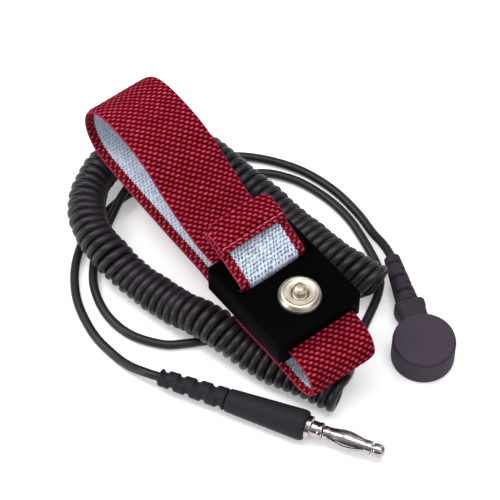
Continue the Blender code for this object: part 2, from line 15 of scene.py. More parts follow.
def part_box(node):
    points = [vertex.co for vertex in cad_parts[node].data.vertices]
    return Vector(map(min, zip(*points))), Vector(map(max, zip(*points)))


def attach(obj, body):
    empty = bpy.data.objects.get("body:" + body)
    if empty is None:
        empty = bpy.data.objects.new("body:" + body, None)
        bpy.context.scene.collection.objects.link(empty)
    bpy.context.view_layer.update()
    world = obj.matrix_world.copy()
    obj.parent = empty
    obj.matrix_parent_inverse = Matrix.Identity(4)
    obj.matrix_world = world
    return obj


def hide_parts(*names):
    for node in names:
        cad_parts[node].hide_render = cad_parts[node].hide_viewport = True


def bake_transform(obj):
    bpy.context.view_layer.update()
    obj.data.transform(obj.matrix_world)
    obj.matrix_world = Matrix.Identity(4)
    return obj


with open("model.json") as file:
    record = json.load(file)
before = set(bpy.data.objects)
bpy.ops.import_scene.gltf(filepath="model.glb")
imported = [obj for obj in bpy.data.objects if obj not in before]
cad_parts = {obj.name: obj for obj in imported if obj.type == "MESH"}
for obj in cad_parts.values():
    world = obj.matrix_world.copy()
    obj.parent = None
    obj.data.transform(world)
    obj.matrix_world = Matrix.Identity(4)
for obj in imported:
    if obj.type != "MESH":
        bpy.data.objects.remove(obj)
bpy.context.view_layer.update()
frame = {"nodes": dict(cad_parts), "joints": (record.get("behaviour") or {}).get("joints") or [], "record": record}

MM = 0.001
ROOT = "strap_and_cord"
JOINTS = {joint["name"]: joint for joint in frame["joints"]}
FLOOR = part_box("cap_shell")[0].z
PLATE_LOW, PLATE_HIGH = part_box("skin_plate")
# The routes and the buckle are measured from the middle of the skin plate's underside.
HOME = Vector((*(PLATE_LOW + PLATE_HIGH).xy / 2, PLATE_LOW.z))
AT_HOME = Matrix.Translation(HOME)
SHARP = math.radians(40)  # edges that turn by more than this are shaded sharp
MIX_FIRST, MIX_SECOND, MIX_RESULT = 6, 7, 2  # the colour sockets of a Mix node

# ---------------------------------------------------------------- sizes

BAND_WIDTH = 20.0  # mm
BAND_THICK = 1.25  # mm
BAND_COLUMNS = 72  # points across the red side
RED, EDGE, GREY = 0, 1, 2  # the webbing's materials, in the order of its faces
PICK = 0.95  # mm along the band from one weft yarn to the next
FLOAT = 1.86  # mm across the band from one raised stitch of a weft yarn to the next
STITCH = 1.05  # mm across the grey side from one stitch to the next
BORDER = 7.55  # mm from the band's middle to the red border of its grey side
# Places along the band, and how far it lies to the side there as it crosses under the buckle, in mm.
BAND_DRIFT = ((22, 31, 55, 67, 76, 95, 130), (0, -1.35, -1.3, 0.55, 0.95, 0.6, 0))
FREE_START = 211.0  # mm along the weave where the free end's pattern starts

CORD_RADIUS = 1.2 * MM
COIL_RADIUS = 4.1 * MM  # of the cord's centreline in the coil
COIL_PITCH = 2.45 * MM
TURN_POINTS = 18
CORD_STEP = 1.2 * MM  # between points of the plain stretches

CAP_HEADING = math.radians(155.8)
CAP_AXIS = 4.0 * MM  # height of the cord's axis above the floor
CAP_RADIUS = 8.1  # mm
CAP_HEIGHT = 8.2  # mm
LEAF_STEPS, LEAF_WIDE = 28, 10  # faces along and across one leaf of the plug's cage
CAGE_PLACE = 50 * MM  # from the start of the plug's boot to its spinning cage's joint

# ---------------------------------------------------------------- routes

# They run through the CAD's points, apart from two ends: the free end takes over from the band inside
# the buckle's slot, and the plug's side of the cord stops short of the coil, which it then drops from.

BAND_ROUTE = [
    (0.0008, 0.0029), (0.0080, 0.0029), (0.0140, 0.0028), (0.0185, 0.0022), (0.0222, 0.0003),
    (0.0243, -0.0022), (0.0240, -0.0045), (0.0215, -0.0056), (0.0170, -0.0056), (0.0110, -0.0052),
    (0.0050, -0.0049), (-0.0020, -0.0048), (-0.0100, -0.0051), (-0.0200, -0.0054),
    (-0.0320, -0.0048), (-0.0440, -0.0037), (-0.0560, -0.0016), (-0.0630, -0.0004),
    (-0.0675, 0.0018), (-0.0702, 0.0056), (-0.0708, 0.0100), (-0.0692, 0.0145),
    (-0.0650, 0.0178), (-0.0585, 0.0193), (-0.0500, 0.0186), (-0.0430, 0.0163), (-0.0360, 0.0124),
    (-0.0280, 0.0083), (-0.0210, 0.0063), (-0.0150, 0.0059), (-0.0110, 0.0058), (-0.0080, 0.0056),
]
FREE_ROUTE = [
    (-0.0060, 0.0057), (-0.0048, 0.0064), (-0.0045, 0.0072),
    (-0.0044, 0.0081), (-0.0046, 0.0087), (-0.0054, 0.0093), (-0.0070, 0.0101),
    (-0.0095, 0.0114), (-0.0125, 0.0129), (-0.0160, 0.0145), (-0.0190, 0.0157),
]
PLUG_SIDE_ROUTE = [
    (-0.00795, -0.03370, 0.0040), (-0.01155, -0.03560, 0.0036), (-0.01615, -0.03700, 0.0022),
    (-0.02165, -0.03780, 0.00125), (-0.02975, -0.03820, 0.00125), (-0.03925, -0.03620, 0.00125),
    (-0.04665, -0.03250, 0.00125), (-0.05265, -0.02740, 0.00125), (-0.05745, -0.02060, 0.00125),
    (-0.06005, -0.01210, 0.00125), (-0.06125, -0.00560, 0.00125), (-0.06045, 0.00040, 0.00125),
    (-0.05715, 0.00690, 0.00125), (-0.05235, 0.01410, 0.00125), (-0.04855, 0.02170, 0.00125),
    (-0.04435, 0.02890, 0.00125), (-0.03865, 0.03330, 0.00125), (-0.03265, 0.03570, 0.00125),
    (-0.02515, 0.03710, 0.00125), (-0.01805, 0.03710, 0.00125), (-0.01265, 0.03620, 0.00125),
    (-0.00765, 0.03500, 0.00125), (-0.00315, 0.03370, 0.00125), (0.00065, 0.03200, 0.00125),
    (0.00385, 0.02930, 0.00125), (0.00645, 0.02590, 0.00125), (0.00865, 0.02210, 0.00125),
    (0.01095, 0.01800, 0.00125), (0.01415, 0.01310, 0.00125), (0.01685, 0.00920, 0.00130),
]
CAP_SIDE_ROUTE = [
    (0.00135, 0.02080, 0.00125), (0.00325, 0.01590, 0.00125), (0.00450, 0.01000, 0.00125),
    (0.00450, 0.00400, 0.00125), (0.00200, -0.00200, 0.00125), (-0.00200, -0.00700, 0.00125),
    (-0.00650, -0.01150, 0.00125), (-0.01020, -0.01600, 0.00125), (-0.01300, -0.02100, 0.00125),
    (-0.01650, -0.02600, 0.00125), (-0.02405, -0.03080, 0.00125), (-0.03265, -0.03200, 0.00125),
    (-0.04115, -0.02990, 0.00125), (-0.04745, -0.02580, 0.00125), (-0.05295, -0.02010, 0.00125),
    (-0.05675, -0.01370, 0.0023), (-0.05995, -0.00760, 0.0040), (-0.06185, -0.00260, 0.0043),
    (-0.06275, 0.00290, 0.0034), (-0.06225, 0.00890, 0.0015), (-0.06005, 0.01490, 0.00125),
    (-0.05735, 0.02090, 0.00125), (-0.05355, 0.02670, 0.00125), (-0.04835, 0.03170, 0.00125),
    (-0.04195, 0.03590, 0.00125), (-0.03575, 0.03850, 0.00125), (-0.02735, 0.04020, 0.00125),
    (-0.01805, 0.04020, 0.00125), (-0.01065, 0.03900, 0.0016), (-0.00515, 0.03800, 0.0031),
    (-0.00040, 0.03660, 0.0040),
]
COIL_ROUTE = [
    (0.02485, -0.00160, 0.0053), (0.01435, -0.00630, 0.0053), (0.00885, -0.00880, 0.0053),
    (0.00235, -0.01130, 0.0057), (-0.00465, -0.01350, 0.0073), (-0.00750, -0.01430, 0.0079),
    (-0.01215, -0.01570, 0.0079), (-0.01650, -0.01690, 0.0071), (-0.02165, -0.01830, 0.0059),
    (-0.03365, -0.02110, 0.0059), (-0.04315, -0.02250, 0.0077), (-0.05215, -0.02210, 0.0081),
    (-0.05935, -0.01910, 0.0081), (-0.06495, -0.01370, 0.0081), (-0.06875, -0.00630, 0.0079),
    (-0.07055, 0.00190, 0.0078), (-0.06915, 0.00990, 0.0079), (-0.06365, 0.01540, 0.0081),
    (-0.05515, 0.01750, 0.0081), (-0.04565, 0.01880, 0.0080), (-0.03415, 0.02080, 0.0064),
    (-0.02215, 0.02210, 0.0056), (-0.01000, 0.02300, 0.0066), (-0.00200, 0.02400, 0.0077),
    (0.00580, 0.02580, 0.0082),
]

# ---------------------------------------------------------------- camera, light and floor


def add_camera():
    data = bpy.data.cameras.new("camera")
    data.lens = 144
    data.sensor_width = 36
    data.clip_start, data.clip_end = 0.01, 20
    camera = bpy.data.objects.new("camera", data)
    azimuth, elevation = math.radians(52), math.radians(54)
    back = Vector((
        math.sin(azimuth) * math.cos(elevation),
        -math.cos(azimuth) * math.cos(elevation),
        math.sin(elevation),
    ))
    camera.location = HOME + Vector((0.21895, -0.18173, 0.41251))
    camera.rotation_mode = "QUATERNION"
    camera.rotation_quaternion = (-back).to_track_quat("-Z", "Y")
    bpy.context.scene.collection.objects.link(camera)
    bpy.context.scene.camera = camera


def add_area_light(name, location, target, size, power):
    data = bpy.data.lights.new(name, "AREA")
    data.shape = "DISK"
    data.size = size
    data.energy = power
    light = bpy.data.objects.new(name, data)
    light.location = location
    light.rotation_mode = "QUATERNION"
    light.rotation_quaternion = (Vector(target) - Vector(location)).to_track_quat("-Z", "Y")
    bpy.context.scene.collection.objects.link(light)


def add_studio():
    world = bpy.data.worlds.new("studio")
    world.use_nodes = True
    nodes, links = world.node_tree.nodes, world.node_tree.links
    height = nodes.new("ShaderNodeSeparateXYZ")
    links.new(nodes.new("ShaderNodeTexCoord").outputs["Generated"], height.inputs[0])
    sky = nodes.new("ShaderNodeValToRGB")
    sky.color_ramp.elements.new(0.5)
    stops = ((0.02, 0.02), (0.28, 0.06), (0.75, 0.5))
    for element, (place, grey) in zip(sky.color_ramp.elements, stops):
        element.position = place
        element.color = (0.95 * grey, 0.97 * grey, grey, 1.0)
    links.new(height.outputs["Z"], sky.inputs[0])
    links.new(sky.outputs["Color"], nodes["Background"].inputs["Color"])
    bpy.context.scene.world = world
    bpy.context.scene.view_settings.view_transform = "Standard"
    target = (-0.02, 0, 0)
    add_area_light("key", (-0.42, -0.30, 0.70), target, 0.35, 3.6)
    add_area_light("top", (0.05, 0.05, 1.0), target, 0.7, 5.5)
    add_area_light("fill", (0.6, 0.0, 0.45), target, 0.5, 0.9)
    add_area_light("back", (-0.15, 0.75, 0.40), target, 0.4, 0.8)
    add_area_light("side", (-0.25, -0.80, 0.20), target, 0.35, 2.8)


def add_floor():
    bm = bmesh.new()
    bmesh.ops.create_grid(bm, x_segments=1, y_segments=1, size=3.0)
    floor = add_object("floor", mesh_from(bm, "floor"))
    floor.location.z = FLOOR - 0.00002
    paint = Paint("floor_white", (0.86, 0.86, 0.86), 0.7, Emission_Color=(1, 1, 1), Emission_Strength=0.3)
    grain = paint.noise(paint.place("Object"), 60, 2)
    paint.set("Base Color", paint.mix(grain, (0.86, 0.86, 0.86), (0.9, 0.9, 0.9)))
    floor.data.materials.append(paint.material)


# ---------------------------------------------------------------- material helper


class Paint:
    """One material, with short calls for the nodes that make its colour and relief."""

    def __init__(self, name, colour, roughness, metallic=0.0, **settings):
        self.material = bpy.data.materials.new(name)
        self.material.use_nodes = True
        self.tree = self.material.node_tree
        self.shader = self.tree.nodes["Principled BSDF"]
        self.set("Base Color", colour)
        self.set("Roughness", roughness)
        self.set("Metallic", metallic)
        for socket, value in settings.items():
            self.set(socket.replace("_", " "), value)
        self.material.diffuse_color = (*colour, 1.0)

    def put(self, value, socket):
        if isinstance(value, bpy.types.NodeSocket):
            self.tree.links.new(value, socket)
        elif isinstance(value, tuple) and socket.type == "RGBA":
            socket.default_value = (*value, 1.0)
        else:
            socket.default_value = value

    def set(self, socket, value):
        self.put(value, self.shader.inputs[socket])

    def node(self, kind, *values, **settings):
        node = self.tree.nodes.new("ShaderNode" + kind)
        for setting, value in settings.items():
            setattr(node, setting, value)
        for value, socket in zip(values, node.inputs):
            if value is not None:
                self.put(value, socket)
        return node

    def math(self, operation, *values):
        return self.node("Math", *values, operation=operation).outputs[0]

    def mix(self, share, first, second):
        node = self.node("Mix", share, data_type="RGBA")
        self.put(first, node.inputs[MIX_FIRST])
        self.put(second, node.inputs[MIX_SECOND])
        return node.outputs[MIX_RESULT]

    def place(self, kind="Object"):
        return self.node("TexCoord").outputs[kind]

    def scaled(self, vector, scale):
        return self.node("Mapping", vector, None, None, Vector(scale)).outputs[0]

    def noise(self, vector, scale, detail=3.0, roughness=0.55):
        node = self.node("TexNoise")
        settings = {"Vector": vector, "Scale": scale, "Detail": detail, "Roughness": roughness}
        for socket, value in settings.items():
            self.put(value, node.inputs[socket])
        return node.outputs["Fac"]

    def ramp(self, share, *stops):
        node = self.node("ValToRGB", share)
        elements = node.color_ramp.elements
        while len(elements) < len(stops):
            elements.new(0.5)
        for element, (position, colour) in zip(elements, stops):
            element.position = position
            element.color = (*colour, 1.0)
        return node.outputs["Color"]

    def relief(self, height, distance, strength):
        node = self.node("Bump")
        node.inputs["Strength"].default_value = strength
        node.inputs["Distance"].default_value = distance
        self.put(height, node.inputs["Height"])
        self.set("Normal", node.outputs["Normal"])


# ---------------------------------------------------------------- materials

# The red weave's colours by height: the darkest red is painted shade in the gaps, and the pink is a painted
# highlight on the tops.
GAP_SHADE_RED, MID_RED = (0.012, 0.0, 0.0), (0.14, 0.001, 0.007)
BRIGHT_RED, HIGHLIGHT_PINK = (0.34, 0.014, 0.038), (0.50, 0.10, 0.145)

# Name, dark colour, light colour, roughness and specular level of each moulded or coated look.
MOULDED = {
    "housing": ("buckle_black", (0.0006, 0.0005, 0.0006), (0.0012, 0.0011, 0.0012), 0.5, 0.015),
    "rubber": ("moulded_rubber", (0.015, 0.0125, 0.016), (0.023, 0.020, 0.025), 0.6, 0.12),
    "cap": ("cap_rubber", (0.042, 0.031, 0.045), (0.055, 0.042, 0.059), 0.65, 0.12),
    "boot": ("cap_boot_rubber", (0.028, 0.021, 0.030), (0.038, 0.029, 0.041), 0.62, 0.12),
    "cord": ("cord_jacket", (0.011, 0.0085, 0.011), (0.019, 0.0155, 0.020), 0.4, 0.28),
    "ceramic": ("resistor_coating", (0.45, 0.33, 0.2), (0.58, 0.44, 0.3), 0.6, 0.5),
}
# Name, colour and roughness of each metal that has no turning marks.
PLAIN_METALS = {
    "nickel": ("inner_nickel", (0.72, 0.66, 0.60), 0.3),
    "steel": ("brushed_stainless", (0.6, 0.6, 0.6), 0.35),
    "spring": ("spring_bronze", (0.75, 0.6, 0.38), 0.3),
    "copper": ("tinned_copper", (0.72, 0.45, 0.32), 0.35),
}


def weave_cells(paint):
    """Pick and float counts of the weave at each point, with a little waviness, and the place in mm."""
    place = paint.node("UVMap", uv_map="weave").outputs["UV"]
    parts = paint.node("SeparateXYZ", place)
    along, across = parts.outputs[0], parts.outputs[1]
    wander = paint.math("MULTIPLY_ADD", paint.noise(place, 0.35, 2), 0.5, -0.25)
    picks = paint.math("DIVIDE", paint.math("ADD", along, wander), PICK)
    floats = paint.math("MULTIPLY_ADD", picks, -0.5, paint.math("DIVIDE", across, FLOAT))
    return place, picks, floats, along, across


def wave(paint, count):
    """From 1 at each whole count to 0 halfway between."""
    turned = paint.math("COSINE", paint.math("MULTIPLY", count, 2 * math.pi))
    return paint.math("MULTIPLY_ADD", turned, 0.5, 0.5)


def cell_chance(paint, picks, columns):
    """One random value from 0 to 1 for each stitch."""
    cell = paint.node("CombineXYZ", paint.math("ROUND", picks), paint.math("ROUND", columns)).outputs[0]
    return paint.node("TexWhiteNoise", cell, noise_dimensions="2D").outputs["Value"]


def red_weave(paint, picks, floats, place):
    """Colour and height of the red yarns: raised stitches in slanting lines, with dark gaps between. The colour
    follows the height: the dark gaps are painted shade and the pink tops are painted highlights.
    """
    height = paint.math("MULTIPLY", wave(paint, picks), 0.32)
    height = paint.math("MULTIPLY_ADD", wave(paint, floats), 0.46, height)
    height = paint.math("MULTIPLY_ADD", wave(paint, paint.math("ADD", floats, picks)), 0.22, height)
    chance = cell_chance(paint, picks, floats)
    fibre = paint.noise(place, 3.4, 4, 0.7)
    light = paint.math("MULTIPLY", height, paint.math("MULTIPLY_ADD", chance, 0.2, 0.95))
    light = paint.math("ADD", light, paint.math("MULTIPLY_ADD", fibre, 1.5, -0.85))
    # Painted shade in the low gaps and painted highlights on the high tops of the stitches.
    colour = paint.ramp(light, (0.10, GAP_SHADE_RED), (0.38, MID_RED), (0.68, BRIGHT_RED), (1.0, HIGHLIGHT_PINK))
    return colour, paint.math("MULTIPLY_ADD", fibre, 0.35, height)


def red_webbing():
    paint = Paint("webbing_red", (0.3, 0.01, 0.03), 0.8, Specular_IOR_Level=0.03)
    place, picks, floats, _, _ = weave_cells(paint)
    colour, height = red_weave(paint, picks, floats, place)
    paint.set("Base Color", colour)
    paint.relief(height, 0.00022, 0.8)
    return paint.material


def grey_webbing():
    """The conductive side: pale stitches with dark gaps, whose darkness is painted shade in the low places of the
    knit. It is palest inside the loop, where the paling is painted light. It has red borders.
    """
    paint = Paint("webbing_grey", (0.6, 0.67, 0.8), 0.8, Specular_IOR_Level=0.1)
    place, picks, floats, along, across = weave_cells(paint)
    red, red_height = red_weave(paint, picks, floats, place)
    columns = paint.math("MULTIPLY_ADD", picks, -0.5, paint.math("DIVIDE", across, STITCH))
    knit = paint.math("MULTIPLY", paint.math("ADD", wave(paint, picks), wave(paint, columns)), -0.27)
    fleck = paint.math("MULTIPLY", paint.noise(place, 2.1, 4, 0.7), 2.0)
    fleck = paint.math("MULTIPLY_ADD", cell_chance(paint, picks, columns), 0.26, fleck)
    shade = paint.math("ADD", knit, paint.math("ADD", fleck, -0.39))
    # The dark end of this ramp, in the low gaps between stitches, is painted shade.
    grey = paint.ramp(
        shade, (0.30, (0.76, 0.84, 0.97)), (0.50, (0.52, 0.60, 0.72)), (0.64, (0.25, 0.30, 0.40)),
        (0.80, (0.08, 0.10, 0.15)),
    )
    # Painted light: the wrist band's grey, which lies inside the loop, is mixed towards a pale blue-grey to stand
    # in for light there. The change falls between the last place on the wrist band and the first on the free end.
    painted_loop_light = paint.node("MapRange", along, FREE_START - 11, FREE_START - 3, 0.35, 0.0).outputs[0]
    grey = paint.mix(painted_loop_light, grey, (0.86, 0.91, 1.0))
    teeth = paint.math("MULTIPLY_ADD", wave(paint, picks), 0.35, paint.math("ABSOLUTE", across))
    edge = paint.node("MapRange", along, 40.0, 90.0, BORDER + 0.75, BORDER + 0.15).outputs[0]
    border = paint.math("GREATER_THAN", teeth, edge)
    paint.set("Base Color", paint.mix(border, grey, red))
    grey_height = paint.math("SUBTRACT", 1.0, shade)
    height = paint.node("Mix", border, None, grey_height, red_height, data_type="FLOAT")
    paint.relief(height.outputs[0], 0.00018, 0.8)
    return paint.material


def edge_webbing():
    paint = Paint("webbing_edge", (0.3, 0.02, 0.05), 0.8, Specular_IOR_Level=0.03)
    place, _, _, along, _ = weave_cells(paint)
    picks = wave(paint, paint.math("DIVIDE", along, PICK))
    shade = paint.math("MULTIPLY_ADD", paint.noise(place, 1.6, 3), 0.8, paint.math("MULTIPLY", picks, 0.25))
    stops = (0.2, (0.10, 0.003, 0.008)), (0.6, (0.30, 0.02, 0.05)), (0.95, (0.5, 0.12, 0.17))
    paint.set("Base Color", paint.ramp(shade, *stops))
    paint.relief(picks, 0.0001, 0.5)
    return paint.material


def thread():
    paint = Paint("stitch_thread", (0.6, 0.05, 0.12), 0.6)
    twist = paint.noise(paint.place(), 2500, 2)
    paint.set("Base Color", paint.mix(twist, (0.42, 0.015, 0.05), (0.8, 0.16, 0.24)))
    paint.relief(twist, 0.0001, 0.5)
    return paint.material


def moulded(name, dark, light, roughness, specular):
    """Moulded rubber or plastic: two close colours, a fine grain and slightly uneven gloss."""
    paint = Paint(name, dark, roughness, Specular_IOR_Level=specular)
    place = paint.place()
    cloud = paint.noise(place, 160, 4)
    paint.set("Base Color", paint.mix(cloud, dark, light))
    paint.set("Roughness", paint.math("MULTIPLY_ADD", cloud, 0.16, roughness - 0.08))
    paint.relief(paint.noise(place, 1800, 2), 0.00002, 0.5)
    return paint.material


def turned_metal(name, colour, roughness, axis, centre, ring=0.00018, depth=0.000006, contrast=0.4):
    """Plated metal with faint turning marks: rings round an axis and small changes of gloss."""
    paint = Paint(name, colour, roughness, 1.0)
    place = paint.node("VectorMath", paint.place(), Vector(centre), operation="SUBTRACT").outputs[0]
    along = paint.node("VectorMath", place, Vector(axis), operation="DOT_PRODUCT").outputs["Value"]
    length = paint.node("VectorMath", place, operation="LENGTH").outputs["Value"]
    count = paint.math("DIVIDE", paint.math("ADD", along, length), ring)
    marks = wave(paint, count)
    smudge = paint.noise(place, 420, 3)
    dark = tuple(0.6 * part for part in colour)
    paint.set("Base Color", paint.mix(paint.math("MULTIPLY_ADD", marks, contrast, smudge), colour, dark))
    paint.set("Roughness", paint.math("MULTIPLY_ADD", smudge, 0.16, roughness - 0.05))
    paint.relief(marks, depth, 0.35)
    return paint.material


def plain_metal(name, colour, roughness):
    paint = Paint(name, colour, roughness, 1.0)
    brushed = paint.noise(paint.scaled(paint.place(), (60, 900, 900)), 3.0, 3)
    dark = tuple(0.75 * part for part in colour)
    paint.set("Base Color", paint.mix(brushed, dark, colour))
    paint.set("Roughness", paint.math("MULTIPLY_ADD", brushed, 0.2, roughness - 0.1))
    return paint.material


# ---------------------------------------------------------------- mesh helpers


def add_object(name, data):
    obj = bpy.data.objects.new(name, data)
    bpy.context.scene.collection.objects.link(obj)
    return obj


def mesh_from(bm, name):
    bmesh.ops.recalc_face_normals(bm, faces=bm.faces)
    mesh = bpy.data.meshes.new(name)
    bm.to_mesh(mesh)
    bm.free()
    mesh.shade_smooth()
    mesh.set_sharp_from_angle(angle=SHARP)
    return mesh


def add_piece(name, mesh, look, body=ROOT, replaces=(), matrix=None):
    if matrix:
        mesh.transform(matrix)
    for material in look if isinstance(look, (list, tuple)) else [look]:
        mesh.materials.append(material)
    piece = add_object(name, mesh)
    if body:
        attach(piece, body)
    if replaces:
        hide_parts(*replaces)
    return piece


def smooth_points(route, step):
    """Points about a step apart on a Catmull-Rom curve through the route's points."""
    knots = [Vector(point) for point in route]
    knots = [2 * knots[0] - knots[1], *knots, 2 * knots[-1] - knots[-2]]
    fine = []
    for a, b, c, d in zip(knots, knots[1:], knots[2:], knots[3:]):
        for i in range(20):
            t = i / 20
            square, cube = (2 * a - 5 * b + 4 * c - d) * t**2, (3 * b - a - 3 * c + d) * t**3
            fine.append(((2 * b) + (c - a) * t + square + cube) / 2)
    fine = np.array([*fine, knots[-2]])
    lengths = np.concatenate([[0], np.cumsum(np.linalg.norm(np.diff(fine, axis=0), axis=1))])
    wanted = np.linspace(0, lengths[-1], max(2, round(lengths[-1] / step)) + 1)
    return np.stack([np.interp(wanted, lengths, column) for column in fine.T], axis=1)


def rounded(points, radius, steps=4):
    """The outline with each corner between its ends replaced by a small curve."""
    out = [points[0]]
    for a, b, c in zip(points, points[1:], points[2:]):
        a, b, c = Vector(a), Vector(b), Vector(c)
        start = b + (a - b).normalized() * min(radius, (a - b).length * 0.45)
        end = b + (c - b).normalized() * min(radius, (c - b).length * 0.45)
        for i in range(steps + 1):
            t = i / steps
            out.append(tuple((1 - t) ** 2 * start + 2 * t * (1 - t) * b + t**2 * end))
    return [*out, points[-1]]


def turned(name, outline, sides=96):
    """An outline of (radius, height) in mm turned about Z. Off the axis, it closes into a ring."""
    bm = bmesh.new()
    rings = []
    for radius, height in outline:
        around = [2 * math.pi * i / sides for i in range(sides)] if radius else [0.0]
        ring = [(radius * MM * math.cos(a), radius * MM * math.sin(a), height * MM) for a in around]
        rings.append([bm.verts.new(point) for point in ring])
    following = rings[1:] + (rings[:1] if outline[0][0] else [])
    for ring, after in zip(rings, following):
        for i in range(sides):
            j = i + 1
            near = (ring[i % len(ring)], ring[j % len(ring)])
            far = (after[j % len(after)], after[i % len(after)])
            bm.faces.new(dict.fromkeys(near + far))
    return mesh_from(bm, name)


def loft(name, rings, hollow=False):
    """A closed body through rings of equal length, in metres. A hollow one joins its last to its first."""
    bm = bmesh.new()
    made = [[bm.verts.new(point) for point in ring] for ring in rings]
    for ring, after in zip(made, made[1:] + made[:1] if hollow else made[1:]):
        for i in range(len(ring)):
            j = (i + 1) % len(ring)
            bm.faces.new((ring[i], ring[j], after[j], after[i]))
    if not hollow:
        bm.faces.new(made[0])
        bm.faces.new(made[-1])
    return mesh_from(bm, name)


def box_mesh(name, low, high):
    """A box between two corners in mm."""
    (x0, y0, z0), (x1, y1, z1) = Vector(low) * MM, Vector(high) * MM
    return loft(name, [[(x0, y0, z), (x1, y0, z), (x1, y1, z), (x0, y1, z)] for z in (z0, z1)])


def carved(name, mesh, tools, bevel):
    """The mesh with every tool cut from it, and its edges softened by a bevel in mm."""
    body = add_object(name + "_blank", mesh)
    helpers = [body]
    for i, tool in enumerate(tools):
        helper = add_object(f"{name}_tool_{i}", tool)
        helpers.append(helper)
        change = body.modifiers.new("cut", "BOOLEAN")
        change.operation = "DIFFERENCE"
        change.solver = "EXACT"
        change.object = helper
    soften = body.modifiers.new("soften", "BEVEL")
    soften.width = bevel * MM
    soften.segments = 2
    soften.limit_method = "ANGLE"
    soften.angle_limit = math.radians(35)
    graph = bpy.context.evaluated_depsgraph_get()
    result = bpy.data.meshes.new_from_object(body.evaluated_get(graph))
    for helper in helpers:
        bpy.data.objects.remove(helper)
    result.name = name
    result.materials.clear()
    result.shade_smooth()
    result.set_sharp_from_angle(angle=SHARP)
    return result


# ---------------------------------------------------------------- cord


def on_floor(route):
    return [(HOME.x + x, HOME.y + y, FLOOR + height) for x, y, height in route]


def coil_turns():
    """The cord's centreline round the coil: a helix from the cap's end, whose first turns lean over."""
    centre = smooth_points(on_floor(COIL_ROUTE), COIL_PITCH / TURN_POINTS)[::-1]
    tangent = np.gradient(centre, axis=0)
    tangent /= np.linalg.norm(tangent, axis=1)[:, None]
    side = np.cross(tangent, (0, 0, 1))
    side /= np.linalg.norm(side, axis=1)[:, None]
    up = np.cross(side, tangent)
    count = len(centre)
    turns = round(count / TURN_POINTS) + 0.58
    angle = np.linspace(0, 2 * math.pi * turns, count)
    slack = 0.00012 * np.sin(angle / 7.3) + 0.00008 * np.sin(angle / 3.1 + 1)
    radius = COIL_RADIUS + slack - 0.0002
    skew = 0.0015 * np.exp(-((angle / 25) ** 2)) + 0.00022 * np.sin(angle / 11.7)
    lean = skew * np.cos(angle)
    return (
        centre
        + (radius * np.sin(angle))[:, None] * side
        - (radius * np.cos(angle))[:, None] * up
        + lean[:, None] * tangent
    )


def cord_points(cap_axis, plug_axis):
    """The whole cord's centreline, from inside the cap's boot to inside the plug's boot."""
    cap_start = [cap_axis @ Vector((0, 0, 0.016)), cap_axis @ Vector((0, 0, 0.024))]
    cap_side = smooth_points([*cap_start, *on_floor(CAP_SIDE_ROUTE[::-1])], CORD_STEP)
    coil = coil_turns()
    plug_end = [plug_axis @ Vector((0, 0, 0.004)), plug_axis @ Vector((0, 0, 0.012))]
    drop = [coil[-5], coil[-1], *on_floor([(0.02165, 0.0039, 0.0059), (0.01925, 0.0065, 0.0028)])]
    plug_side = smooth_points([*drop, *on_floor(PLUG_SIDE_ROUTE[::-1]), *plug_end], CORD_STEP)
    entry = smooth_points([cap_side[-3], cap_side[-1], coil[0], coil[4]], 0.0007)
    # The curve into the coil keeps only the points that lie between the two stretches it joins.
    inner = [p for p in entry if np.linalg.norm(p - cap_side[-1]) > 0.0004]
    inner = [p for p in inner if (p - coil[0]).dot(coil[4] - coil[0]) < -1e-7]
    inner = [p for p in inner if (p - cap_side[-1]).dot(cap_side[-1] - cap_side[-3]) > 0]
    skip = np.linalg.norm(plug_side - coil[-1], axis=1).argmin() + 1
    return [*cap_side, *inner, *coil, *plug_side[skip:]]


def add_cord(looks, cap_axis, plug_axis):
    """Adds the one cord, and gives its length."""
    points = cord_points(cap_axis, plug_axis)
    curve = bpy.data.curves.new("ground_cord", "CURVE")
    curve.dimensions = "3D"
    curve.bevel_depth = CORD_RADIUS
    curve.bevel_resolution = 5
    curve.use_fill_caps = True
    spline = curve.splines.new("POLY")
    spline.points.add(len(points) - 1)
    spline.points.foreach_set("co", np.hstack([points, np.ones((len(points), 1))]).ravel())
    curve.materials.append(looks["cord"])
    cord = add_object("ground_cord", curve)
    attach(cord, ROOT)
    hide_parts("cord_cap_side", "cord_coil", "cord_plug_side")
    length = float(np.linalg.norm(np.diff(points, axis=0), axis=1).sum())
    return cord, length


# ---------------------------------------------------------------- band


def weave_height(along, across):
    """Height of the red weave, from 0 to 1, at points along and across the band in mm."""
    picks = along / PICK
    floats = across / FLOAT - picks / 2
    waves = 0.46 * np.cos(2 * np.pi * floats) + 0.22 * np.cos(2 * np.pi * (floats + picks))
    return 0.5 + 0.5 * (waves + 0.32 * np.cos(2 * np.pi * picks))


def half_thickness(y):
    """Half the webbing's thickness in mm: it thins towards its two edges."""
    return BAND_THICK / 2 * (1 - 0.45 * min(max((abs(y) - 8.2) / 1.5, 0), 1) ** 2)


def band_section(columns):
    """Each point's place across, outward offset, kind of face and outward push."""
    edge = BAND_WIDTH / 2 - 0.3
    rim = half_thickness(edge)
    red = [(y, half_thickness(y), RED, 1.0) for y in np.linspace(-edge, edge, columns)]
    grey = [(y, -half_thickness(y), GREY, -1.0) for y in np.linspace(edge, -edge, columns // 2)]
    turn = [math.pi / 2 - math.pi * i / 6 for i in range(1, 6)]
    right = [(edge + 0.3 * math.cos(a), rim * math.sin(a), EDGE, 0.0) for a in turn]
    left = [(-edge - 0.3 * math.cos(a), -rim * math.sin(a), EDGE, 0.0) for a in turn]
    return [*red, *right, *grey, *left]


